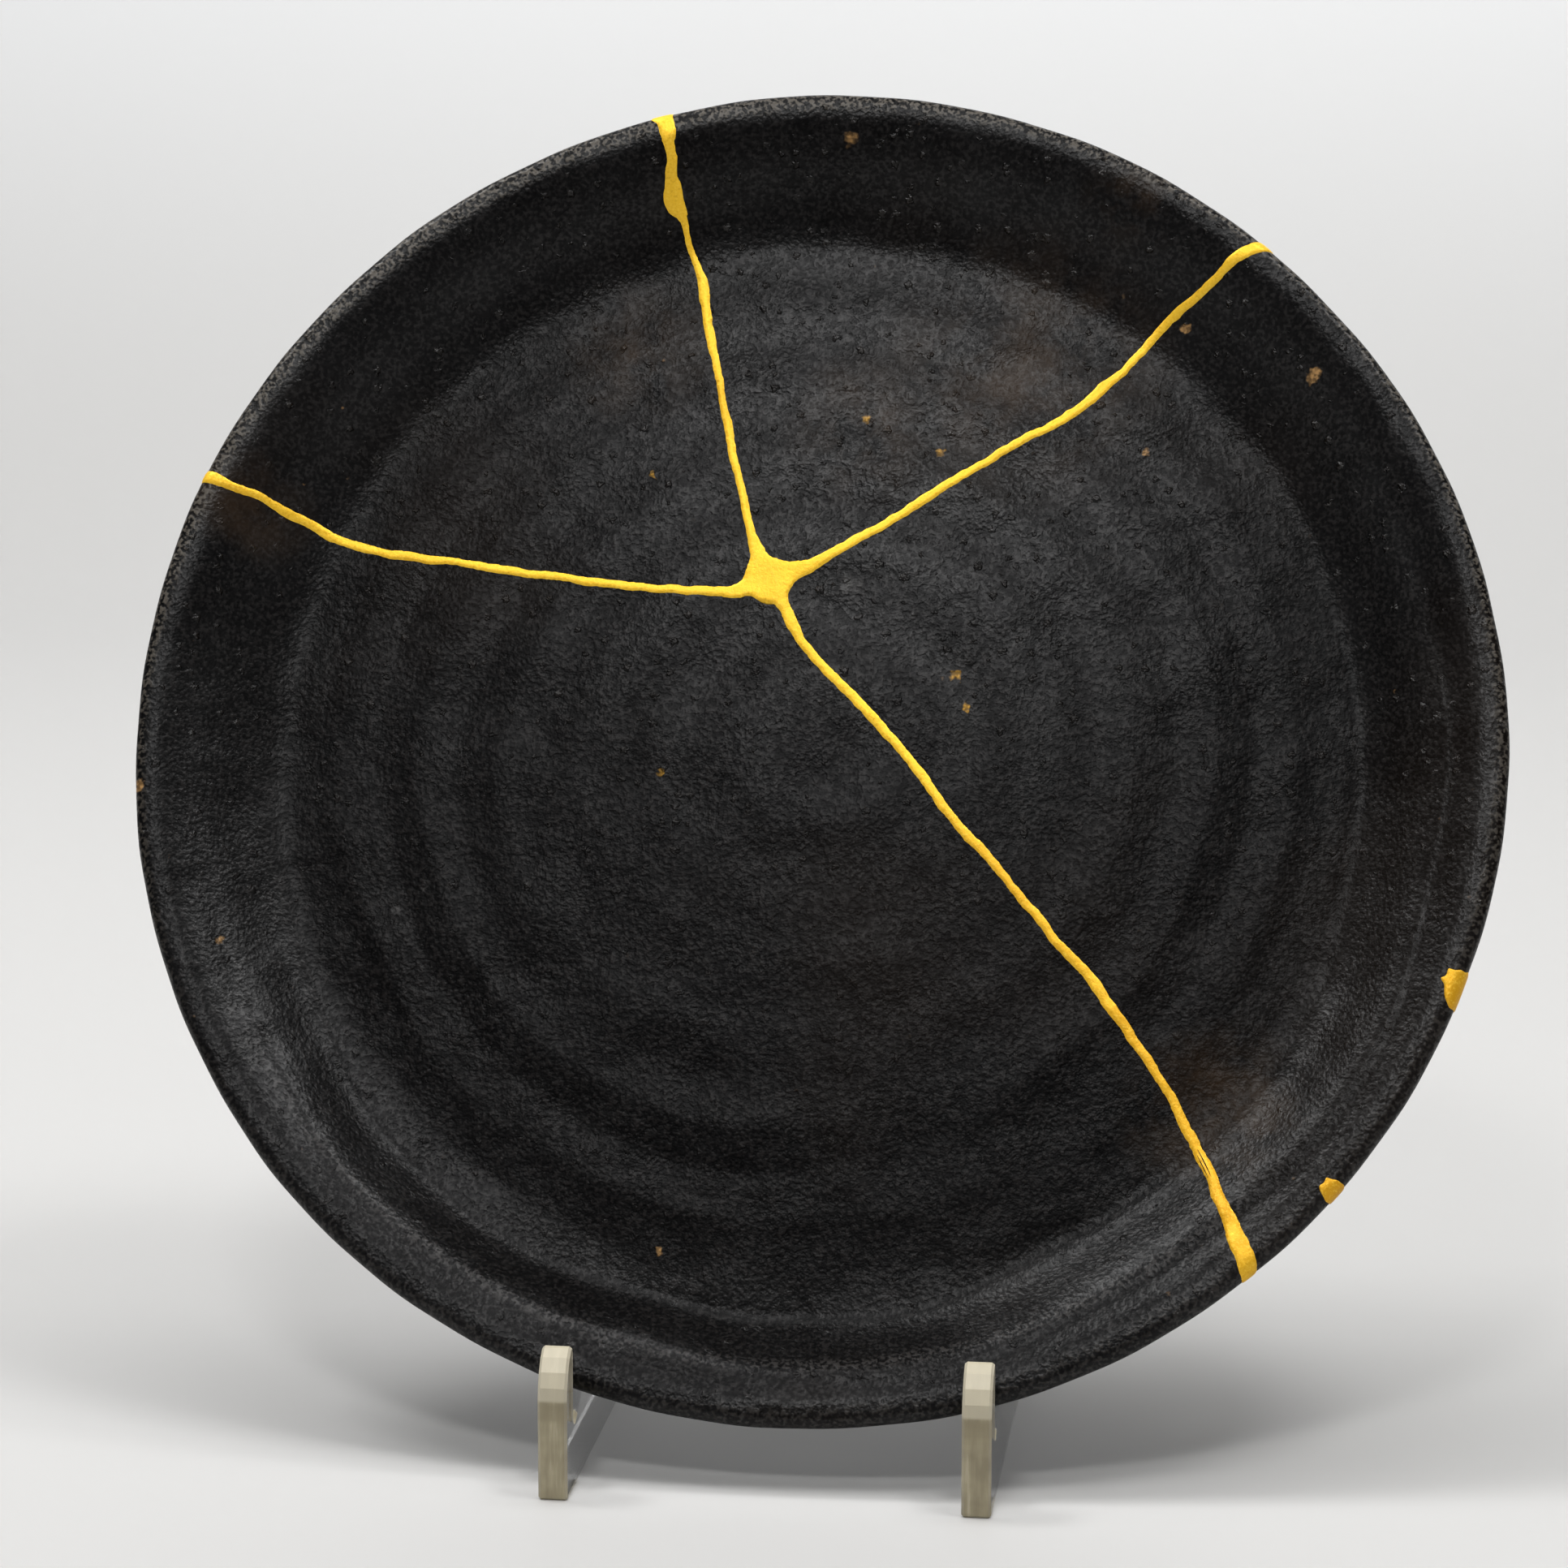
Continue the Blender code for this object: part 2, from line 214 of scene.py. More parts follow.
def grainGroup():
    # Bumps of fired clay: fine grain, round pimples on part of the face, and slow dents.
    group, entry, leave = newGroup("clayGrain", ("Place",), ("Pimples",), ("Height", "Grain", "Domes"))
    fine = addNode(group, "ShaderNodeTexNoise", Scale=1500.0, Detail=1.0, Roughness=0.5)
    broad = addNode(group, "ShaderNodeTexNoise", Scale=110.0, Detail=2.0, Roughness=0.55)
    cells = addNode(group, "ShaderNodeTexVoronoi", Scale=430.0, Randomness=1.0)
    for node in (fine, broad):
        group.links.new(entry["Place"], node.inputs["Vector"])
    # The fine noise shoves the cells about, so no pimple is quite round
    shove = (0.0013, 0.0013, 0.0013)
    shoved = vectorNode(group, "MULTIPLY_ADD", fine.outputs["Color"], shove, entry["Place"])
    group.links.new(shoved, cells.inputs["Vector"])
    chance = split(group, cells.outputs["Color"], "Color")
    reach = remap(group, chance[1], 0.0, 1.0, 0.15, 0.36)
    sunk = mathNode(group, "DIVIDE", cells.outputs["Distance"], reach)
    dome = mathNode(group, "SUBTRACT", 1.0, mathNode(group, "MULTIPLY", sunk, sunk), clamp=True)
    gathered = mathNode(group, "ADD", chance[0], mathNode(group, "MULTIPLY", broad.outputs["Fac"], 0.5))
    present = remap(group, gathered, 0.76, 1.02)
    pimple = mathNode(group, "MULTIPLY", mathNode(group, "MULTIPLY", dome, present), entry["Pimples"])
    height = mathNode(group, "MULTIPLY", fine.outputs["Fac"], 0.30)
    height = mathNode(group, "ADD", height, mathNode(group, "MULTIPLY", broad.outputs["Fac"], 0.8))
    height = mathNode(group, "ADD", height, mathNode(group, "MULTIPLY", pimple, 0.95))
    for value, name in ((height, "Height"), (fine.outputs["Fac"], "Grain"), (pimple, "Domes")):
        group.links.new(value, leave[name])
    return group


softSpot = spotGroup()
clayGrain = grainGroup()


def spotMask(tree, place, spot):
    # spot: across and up as shares of the radius, radius and edge in millimetres
    node = tree.nodes.new("ShaderNodeGroup")
    node.node_tree = softSpot
    tree.links.new(place, node.inputs["Place"])
    node.inputs["Centre"].default_value = (spot[0] * radius, spot[1] * radius, 0.0)
    node.inputs["Radius"].default_value = spot[2] / 1000
    node.inputs["Edge"].default_value = spot[3] / 1000
    return node.outputs["Mask"]


clay = {
    "base": (0.0006, 0.0005, 0.0006),
    "lifted": (0.0070, 0.0060, 0.0058),
    "brown": (0.022, 0.0115, 0.0045),
    "wornAndHighlight": (0.085, 0.074, 0.060),
    "ridgeWornAndHighlight": (0.020, 0.018, 0.017),
    "domes": (0.050, 0.034, 0.022),
    "grit": (0.15, 0.085, 0.035),
    "tan": (0.34, 0.19, 0.070),
    "goldDust": (0.40, 0.21, 0.020),
    "pale": (0.045, 0.043, 0.042),
    "specular": 0.05,
    "coat": 0.60,
    "coatRoughness": 0.38,
    "dullShine": 0.26,
    "ringWidth": 0.0125,
    "roughness": 0.37,
    "smoothPatch": (0.10, 0.50, 4, 78),
    "bump": 0.00036,
    # across, up, radius mm, edge mm of the brown bloom, the tan chips, the gold dust and the pale blisters
    "blooms": [(0.28, 0.60, 4, 22), (0.60, -0.52, 4, 13), (0.05, 0.50, 1, 14), (-0.30, 0.62, 1, 13),
               (0.44, 0.84, 1, 9), (-0.86, 0.34, 1, 10)],
    "tanChips": [(0.708, 0.568, 0.9, 0.5), (0.514, 0.660, 0.5, 0.5), (-0.979, -0.104, 0.7, 0.4),
                 (-0.844, -0.328, 0.35, 0.4), (-0.184, -0.747, 0.4, 0.4), (0.464, 0.469, 0.35, 0.4),
                 (0.008, 0.935, 0.5, 0.8)],
    "goldDustSpots": [(0.200, 0.119, 0.55, 0.4), (0.216, 0.069, 0.45, 0.4), (0.159, 0.464, 0.5, 0.5),
                      (0.047, 0.517, 0.35, 0.5), (-0.228, -0.040, 0.3, 0.4), (-0.270, 0.421, 0.3, 0.4)],
    "paleBlisters": [(-0.603, -0.259, 0.3, 0.6), (0.037, 0.254, 0.9, 1.3), (-0.564, -0.224, 0.15, 0.4)],
}


def clayMaterial():
    material, tree, shader = newMaterial("blackClay")
    place = platePlace(tree)
    across, up, out = split(tree, place)
    fromMiddle = vectorNode(tree, "LENGTH", vectorNode(tree, "MULTIPLY", place, (1, 1, 0)))

    mottle = addNode(tree, "ShaderNodeTexNoise", Scale=75.0, Detail=4.0, Roughness=0.65)
    cloud = addNode(tree, "ShaderNodeTexNoise", Scale=15.0, Detail=2.0, Roughness=0.5)
    crumbs = addNode(tree, "ShaderNodeTexVoronoi", Scale=150.0, Randomness=1.0)
    ragged = addNode(tree, "ShaderNodeTexNoise", Scale=800.0, Detail=1.0)
    for node in (mottle, cloud, crumbs, ragged):
        tree.links.new(place, node.inputs["Vector"])

    # Pimples crowd the upper part of the well and thin out below
    crowd = remap(tree, up, -radius * 0.5, radius * 0.3, 0.30, 1.0, smooth=True)
    grain = tree.nodes.new("ShaderNodeGroup")
    grain.node_tree = clayGrain
    tree.links.new(place, grain.inputs["Place"])
    tree.links.new(crowd, grain.inputs["Pimples"])

    # Spots are pulled out of round by a little noise on their place
    centred = vectorNode(tree, "SUBTRACT", place, (0.0011, 0.0011, 0.0))
    pulled = vectorNode(tree, "MULTIPLY_ADD", ragged.outputs["Color"], (0.0022, 0.0022, 0.0), centred)

    # Bloom of brown, thicker where the glaze ran thin
    bloom = largest(tree, [spotMask(tree, place, spot) for spot in clay["blooms"]])
    cloudy = remap(tree, cloud.outputs["Fac"], 0.52, 0.74, 0.0, 0.12, smooth=True)
    broken = remap(tree, mottle.outputs["Fac"], 0.40, 0.64)
    bloom = mathNode(tree, "MAXIMUM", mathNode(tree, "MULTIPLY", bloom, broken), cloudy)
    grainy = remap(tree, grain.outputs["Grain"], 0.44, 0.66)
    pitted = remap(tree, ragged.outputs["Fac"], 0.36, 0.50, 0.25, 1.0)
    colour = mixColour(tree, mathNode(tree, "MULTIPLY", grainy, pitted), clay["base"], clay["lifted"])
    colour = mixColour(tree, mathNode(tree, "MULTIPLY", bloom, 0.85), colour, clay["brown"])
    domes = mathNode(tree, "MULTIPLY", grain.outputs["Domes"], mathNode(tree, "ADD", bloom, 0.15))
    colour = mixColour(tree, mathNode(tree, "MULTIPLY", domes, 0.45), colour, clay["domes"])

    # Lighter flecks on the lip and the ridge: partly wear where the clay shows through, partly a painted
    # highlight, kept strongest on the upper lip and only on the lower ridge.
    lip = remap(tree, fromMiddle, radius * 0.970, radius * 0.986, smooth=True)
    top = remap(tree, out, 0.0145, 0.0164, smooth=True)
    flecks = remap(tree, grain.outputs["Grain"], 0.46, 0.60)
    # Painted highlight: the lip's flecks are strongest on the upper part of the plate, where the light
    # catches the lip.
    upper = remap(tree, up, -radius * 0.45, radius * 0.25, 0.12, 1.0)
    crest = mathNode(tree, "MULTIPLY", lip, top)
    wearAndHighlight = mathNode(tree, "MULTIPLY", crest, mathNode(tree, "MULTIPLY", upper, flecks))
    colour = mixColour(tree, mathNode(tree, "MULTIPLY", wearAndHighlight, 0.8), colour, clay["wornAndHighlight"])
    # The ridge flecks lighten only the lower part of the ridge: painted highlight as well as wear.
    ridgeGap = mathNode(tree, "ABSOLUTE", mathNode(tree, "SUBTRACT", fromMiddle, plate["ridgeRadius"]))
    ridge = mathNode(tree, "MULTIPLY", remap(tree, ridgeGap, 0.0016, 0.0002, smooth=True),
                     remap(tree, up, -radius * 0.35, -radius * 0.75))
    colour = mixColour(tree, mathNode(tree, "MULTIPLY", ridge, flecks), colour, clay["ridgeWornAndHighlight"])

    # Crumbs of tan grit in a few cells of a loose scatter, each its own size
    chance = split(tree, crumbs.outputs["Color"], "Color")
    size = remap(tree, chance[1], 0.0, 1.0, 0.030, 0.085)
    near = remap(tree, mathNode(tree, "DIVIDE", crumbs.outputs["Distance"], size), 1.0, 0.6)
    grit = mathNode(tree, "MULTIPLY", near, mathNode(tree, "GREATER_THAN", chance[0], 0.55))
    grit = mathNode(tree, "MULTIPLY", grit, mathNode(tree, "MULTIPLY", chance[2], grainy))
    colour = mixColour(tree, grit, colour, clay["grit"])

    # The chips and dust lie on the face alone
    shape = tree.nodes.new("ShaderNodeNewGeometry")
    facing = vectorNode(tree, "DOT_PRODUCT", shape.outputs["Normal"], tuple(outAxis))
    speckled = remap(tree, grainy, 0.0, 1.0, 0.35, 1.0)
    strength = mathNode(tree, "MULTIPLY", remap(tree, facing, -0.35, -0.10), speckled)
    for key, tint in (("tanChips", "tan"), ("goldDustSpots", "goldDust"), ("paleBlisters", "pale")):
        marks = largest(tree, [spotMask(tree, pulled, spot) for spot in clay[key]])
        colour = mixColour(tree, mathNode(tree, "MULTIPLY", marks, strength), colour, clay[tint])
    tree.links.new(colour, shader.inputs["Base Color"])

    bump = addNode(tree, "ShaderNodeBump", Strength=1.0, Distance=clay["bump"])
    tree.links.new(grain.outputs["Height"], bump.inputs["Height"])
    tree.links.new(bump.outputs[0], shader.inputs["Normal"])
    # A little smoother across the upper middle of the well
    smoother = spotMask(tree, place, clay["smoothPatch"])
    uneven = mathNode(tree, "SUBTRACT", mottle.outputs["Fac"], mathNode(tree, "MULTIPLY", pitted, 0.35))
    rough = remap(tree, uneven, 0.0, 0.6, clay["roughness"] - 0.06, clay["roughness"] + 0.16)
    rough = mathNode(tree, "SUBTRACT", rough, mathNode(tree, "MULTIPLY", smoother, 0.07))
    tree.links.new(rough, shader.inputs["Roughness"])
    shader.inputs["Specular IOR Level"].default_value = clay["specular"]
    # The glaze is dull low in the well, and shines in broken flecks on the patch, the cove and the lip
    away = remap(tree, fromMiddle, radius * 0.76, radius * 0.84, smooth=True)
    glazed = mathNode(tree, "MAXIMUM", smoother, away)
    shine = remap(tree, glazed, 0.0, 1.0, clay["dullShine"], 1.0, smooth=True)
    grains = mathNode(tree, "MULTIPLY", remap(tree, grain.outputs["Grain"], 0.38, 0.64), pitted)
    fleck = mathNode(tree, "ADD", mathNode(tree, "MULTIPLY", broken, 0.45), grains)
    shine = mathNode(tree, "MULTIPLY", shine, remap(tree, fleck, 0.0, 1.35, 0.34, 1.0))
    # Throwing rings show as slow bands of stronger and weaker shine
    drifted = mathNode(tree, "ADD", fromMiddle, mathNode(tree, "MULTIPLY", cloud.outputs["Fac"], 0.011))
    turn = mathNode(tree, "SINE", mathNode(tree, "MULTIPLY", drifted, math.tau / clay["ringWidth"]))
    shine = mathNode(tree, "MULTIPLY", shine, remap(tree, turn, -1.0, 0.9, 0.62, 1.0, smooth=True))
    shine = mathNode(tree, "ADD", shine, mathNode(tree, "MULTIPLY", grain.outputs["Domes"], 0.5), clamp=True)
    tree.links.new(mathNode(tree, "MULTIPLY", shine, clay["coat"]), shader.inputs["Coat Weight"])
    tree.links.new(bump.outputs[0], shader.inputs["Coat Normal"])
    shader.inputs["Coat Roughness"].default_value = clay["coatRoughness"]
    return material


gold = {
    "base": (0.93, 0.55, 0.028),
    "deep": (0.66, 0.33, 0.008),
    "bright": (1.0, 0.72, 0.10),
    "metallic": 0.35,
    "roughness": 0.42,
    "specular": 0.3,
}


def goldMaterial():
    material, tree, shader = newMaterial("powderedGold")
    place = platePlace(tree)
    dust = addNode(tree, "ShaderNodeTexNoise", Scale=2300.0, Detail=2.0, Roughness=0.7)
    lumps = addNode(tree, "ShaderNodeTexNoise", Scale=420.0, Detail=3.0, Roughness=0.55)
    drift = addNode(tree, "ShaderNodeTexNoise", Scale=45.0, Detail=2.0, Roughness=0.5)
    for node in (dust, lumps, drift):
        tree.links.new(place, node.inputs["Vector"])
    across, up, out = split(tree, place)
    # Deeper toward the right and the lower rim
    lean = remap(tree, mathNode(tree, "SUBTRACT", across, up), 0.0, radius * 1.3, -0.12, 0.22)
    deep = remap(tree, mathNode(tree, "ADD", drift.outputs["Fac"], lean), 0.45, 0.80)
    colour = mixColour(tree, deep, gold["base"], gold["deep"])
    colour = mixColour(tree, remap(tree, dust.outputs["Fac"], 0.52, 0.72, 0.0, 0.55), colour, gold["bright"])
    colour = mixColour(tree, remap(tree, dust.outputs["Fac"], 0.46, 0.32, 0.0, 0.5), colour, gold["deep"])
    tree.links.new(colour, shader.inputs["Base Color"])
    shader.inputs["Metallic"].default_value = gold["metallic"]
    shader.inputs["Specular IOR Level"].default_value = gold["specular"]
    rough = remap(tree, dust.outputs["Fac"], 0.3, 0.7, gold["roughness"] - 0.08, gold["roughness"] + 0.16)
    tree.links.new(rough, shader.inputs["Roughness"])
    height = mathNode(tree, "ADD", mathNode(tree, "MULTIPLY", dust.outputs["Fac"], 0.3), lumps.outputs["Fac"])
    bump = addNode(tree, "ShaderNodeBump", Strength=0.7, Distance=0.00022)
    tree.links.new(height, bump.inputs["Height"])
    tree.links.new(bump.outputs[0], shader.inputs["Normal"])
    return material


acrylic = {
    "clear": (0.96, 0.97, 0.965),
    "sawn": (0.42, 0.365, 0.235),
    "sawnPaleAndHighlight": (0.56, 0.51, 0.39),
    "sawnDarkAndShade": (0.27, 0.23, 0.145),
    "capHeight": 0.0152,      # the posts' fronts end here, under their caps
    "frontReach": -0.0485,    # only what stands forward of this is left sawn, the rest is polished
}


def acrylicMaterial():
    # Clear faces; the posts' cut faces are saw-marked, with a painted highlight making the cap paler and
    # painted shade darkening a band just under it.
    material, tree, shader = newMaterial("sawnAcrylic")
    coordinates = tree.nodes.new("ShaderNodeTexCoord")
    _, depth, height = split(tree, coordinates.outputs["Object"])
    shape = tree.nodes.new("ShaderNodeNewGeometry")
    sideways = split(tree, shape.outputs["Normal"])[0]
    edgeOn = remap(tree, mathNode(tree, "ABSOLUTE", sideways), 0.85, 0.70)
    forward = remap(tree, depth, acrylic["frontReach"] + 0.0005, acrylic["frontReach"])
    sawn = mathNode(tree, "MULTIPLY", edgeOn, forward)
    stretch = tree.nodes.new("ShaderNodeMapping")
    stretch.inputs["Scale"].default_value = (1.0, 0.25, 0.10)
    stretch.inputs["Rotation"].default_value = (0.0, 0.22, 0.0)
    tree.links.new(coordinates.outputs["Object"], stretch.inputs["Vector"])
    marks = addNode(tree, "ShaderNodeTexNoise", Scale=800.0, Detail=3.0, Roughness=0.6)
    blotch = addNode(tree, "ShaderNodeTexNoise", Scale=260.0, Detail=2.0, Roughness=0.5)
    tree.links.new(stretch.outputs[0], marks.inputs["Vector"])
    tree.links.new(coordinates.outputs["Object"], blotch.inputs["Vector"])
    both = mathNode(tree, "ADD", mathNode(tree, "MULTIPLY", marks.outputs["Fac"], 0.6),
                    mathNode(tree, "MULTIPLY", blotch.outputs["Fac"], 0.4))
    tint = mixColour(tree, remap(tree, both, 0.38, 0.62), acrylic["sawnDarkAndShade"], acrylic["sawn"])
    tint = mixColour(tree, remap(tree, marks.outputs["Fac"], 0.58, 0.72, 0.0, 0.5), tint, acrylic["sawnPaleAndHighlight"])
    # Painted highlight: the cap, the top of each post, is painted paler; the same pale colour also marks pale
    # saw streaks.
    below = mathNode(tree, "SUBTRACT", acrylic["capHeight"], height)
    litCap = remap(tree, below, -0.0001, -0.0006, 0.0, 0.75)
    tint = mixColour(tree, litCap, tint, acrylic["sawnPaleAndHighlight"])
    # Painted shade: a band just under the cap is painted darker; the same dark colour also marks dark saw
    # streaks.
    underCap = remap(tree, below, -0.0001, 0.0003)
    shade = mathNode(tree, "MULTIPLY", underCap, remap(tree, below, 0.0031, 0.0024))
    tint = mixColour(tree, mathNode(tree, "MULTIPLY", shade, 0.55), tint, acrylic["sawnDarkAndShade"])
    tree.links.new(mixColour(tree, sawn, acrylic["clear"], tint), shader.inputs["Base Color"])
    tree.links.new(remap(tree, sawn, 0.0, 1.0, 1.0, 0.12), shader.inputs["Transmission Weight"])
    tree.links.new(remap(tree, sawn, 0.0, 1.0, 0.02, 0.42), shader.inputs["Roughness"])
    tree.links.new(remap(tree, sawn, 0.0, 1.0, 0.35, 1.0), shader.inputs["Alpha"])
    shader.inputs["IOR"].default_value = 1.49
    bump = addNode(tree, "ShaderNodeBump", Strength=0.4, Distance=0.0001)
    tree.links.new(mathNode(tree, "MULTIPLY", marks.outputs["Fac"], sawn), bump.inputs["Height"])
    tree.links.new(bump.outputs[0], shader.inputs["Normal"])
    return material


blackClay = clayMaterial()
powderedGold = goldMaterial()
sawnAcrylic = acrylicMaterial()
print("materials made")


# The plate's wall

wall = {
    "split": 0.56,        # share of the radius inside which the rows ring the pool of gold
    "innerRows": 44,
    "outerRows": 74,
    "columnLength": 0.00118,
    "ripple": 0.00016,    # height of the throwing rings
    "dent": 0.00010,
    "halfGap": 0.00025,   # half the crack between two shards, which the gold fills
    "coveStart": 0.0880,
    "ridgeShift": 0.0038,
    "crestInset": 0.0032,   # the cove runs up to this far inside the lip
    "crestDrop": 0.0002,    # and this far under the lip's plane
    "rimTurn": 298.0,     # where round the plate a flatter rim shows above the cove, in degrees
    "rimSpread": 92.0,
    "ridgeTurn": 250.0,   # where that rim starts with a low ridge
    "ridgeSpread": 46.0,
}


crestRadius = radius - wall["crestInset"]
crestClimb = plate["height"] - plate["wellLevel"] - wall["crestDrop"]


def coveRise(share, late, power):
    # S-curve from 0 to 1: share^p / (share^p + (late (1 - share))^p)
    rising = share ** power
    return rising / (rising + (late * (1 - share)) ** power)


def smoothStep(value):
    value = np.clip(value, 0, 1)
    return value * value * (3 - 2 * value)


def smoothCove(away):
    # Height over the well where the cove runs straight up to the lip.
    share = (away - plate["wellRadius"]) / (crestRadius - plate["wellRadius"])
    return crestClimb * coveRise(np.clip(share, 0, 1), 1.25, 1.4)


def rimmedCove(away, ridge):
    # Height over the well where a flatter rim lies above the cove; `ridge` makes the cove narrow and steep.
    start = wall["coveStart"] + wall["ridgeShift"] * ridge
    share = np.clip((away - start) / (plate["ridgeRadius"] - start), 0, 1)
    low = plate["ridgeLevel"] - plate["wellLevel"]
    climb = low * coveRise(share, 1.05, 1.35 - 0.12 * ridge)
    toLip = (away - plate["ridgeRadius"]) / (crestRadius - plate["ridgeRadius"])
    return climb + (crestClimb - low) * smoothStep(toLip)


def wallProfile():
    # The turned wall as points of radius and height, from the well's middle round the lip to the foot's.
    rise = np.linspace(0, 1, 60)
    well = np.column_stack([np.linspace(0, plate["wellRadius"], 60), np.full(60, plate["wellLevel"])])
    coveWidth = crestRadius - plate["wellRadius"]
    cove = np.column_stack([plate["wellRadius"] + coveWidth * rise,
                            plate["wellLevel"] + smoothCove(plate["wellRadius"] + coveWidth * rise)])
    lipRound = plate["lipThickness"] * 0.45
    turn = np.radians(np.linspace(72, -78, 16))
    lip = np.column_stack([radius - lipRound + lipRound * np.cos(turn),
                           plate["height"] - lipRound + lipRound * np.sin(turn)])
    underLip = plate["height"] - plate["lipThickness"]
    shoulder = plate["footHeight"] * 1.2
    foot = plate["footRadius"]
    width = plate["footWidth"]
    under = np.array([
        (plate["ridgeRadius"], underLip - 0.0020),
        (plate["ridgeRadius"] - 0.0068, underLip - 0.0022 - (underLip - shoulder) * 0.42),
        (plate["wellRadius"] - 0.0018, shoulder + plate["footHeight"] * 0.45),
        (foot + width * 0.25, shoulder), (foot + 0.0004, shoulder * 0.35), (foot - 0.0006, 0.0001),
        (foot - width + 0.0006, 0.0001), (foot - width * 1.15, plate["footHeight"]),
        (0.0, plate["footHeight"])])
    points = np.vstack([well, cove[1:], lip, under])
    gaps = np.hypot(*np.diff(points, axis=0).T)
    along = np.concatenate([[0], np.cumsum(gaps)])
    fine = np.arange(0, along[-1], 0.0001)
    line = np.column_stack([np.interp(fine, along, points[:, 0]), np.interp(fine, along, points[:, 1])])
    # Rounded off by a Gaussian mean, mirrored past the middle so the line stays level there
    reach = 16
    weights = np.exp(-(np.arange(-reach, reach + 1) / 7.0) ** 2)
    padded = np.vstack([np.repeat(line[:1], reach, 0), line, np.repeat(line[-1:], reach, 0)])
    padded[:reach, 0] = -line[reach:0:-1, 0]
    padded[-reach:, 0] = -line[-2:-2 - reach:-1, 0]
    return np.column_stack([np.convolve(padded[:, 0], weights / weights.sum(), "valid"),
                            np.convolve(padded[:, 1], weights / weights.sum(), "valid")])


profile = wallProfile()
lipIndex = int(np.argmax(profile[:, 0]))
lipReach = float(profile[lipIndex, 0])
profile[:, 0] *= radius / lipReach
topLine, underLine = profile[:lipIndex + 1], profile[lipIndex:][::-1]
topRadii = np.maximum.accumulate(topLine[:, 0])
underRadii = np.maximum.accumulate(underLine[:, 0])


def faceRelief(x, y):
    # Throwing rings, wandering a little from round, slow dents of the floor and the cove's second step.
    away = np.hypot(x, y)
    wander = away + 0.0014 * softNoise(x, y, 0.09, 3) + 0.0005 * softNoise(x, y, 0.03, 4)
    rings = np.zeros_like(away)
    for share, height, width in ((0.13, 0.6, 2.4), (0.22, -0.6, 2.8), (0.31, 0.9, 2.2), (0.385, -0.8, 2.1),
                                 (0.45, 1.0, 1.9), (0.515, -0.9, 1.8), (0.575, 1.1, 1.8), (0.635, -0.9, 1.8),
                                 (0.70, 0.9, 2.0), (0.945, 0.4, 1.2)):
        rings += height * np.exp(-((wander - share * radius) / (width / 1000)) ** 2)
    patchy = 0.65 + 0.5 * softNoise(x, y, 0.07, 8)
    relief = wall["ripple"] * rings * patchy + wall["dent"] * softNoise(x, y, 0.022, 5) \
        + 0.00004 * softNoise(x, y, 0.007, 6, 14)
    rim, ridge = (np.exp(-(((np.degrees(np.arctan2(y, x)) - wall[key + "Turn"] + 180) % 360 - 180)
                           / wall[key + "Spread"]) ** 4) for key in ("rim", "ridge"))
    relief += rim * (rimmedCove(wander, ridge) - smoothCove(wander))
    return relief * np.clip((radius - away) / 0.0030, 0, 1)


def lipSwell(x, y):
    # The hand-made lip goes in and out by a tenth of a millimetre.
    turn = np.arctan2(y, x)
    waves = ((0.00010, 5, 1.0), (0.00007, 11, 2.2), (0.00004, 23, 0.4), (0.00004, 47, 1.7))
    wave = sum(height * np.sin(count * turn + phase) for height, count, phase in waves)
    return 1 + wave / radius * np.clip((np.hypot(x, y) / radius - 0.9) / 0.1, 0, 1)


print("profile worked out, lip reaches", round(lipReach * 1000, 2), "mm")


# Cracks: across and up as shares of the radius, and the gold's width in millimetres

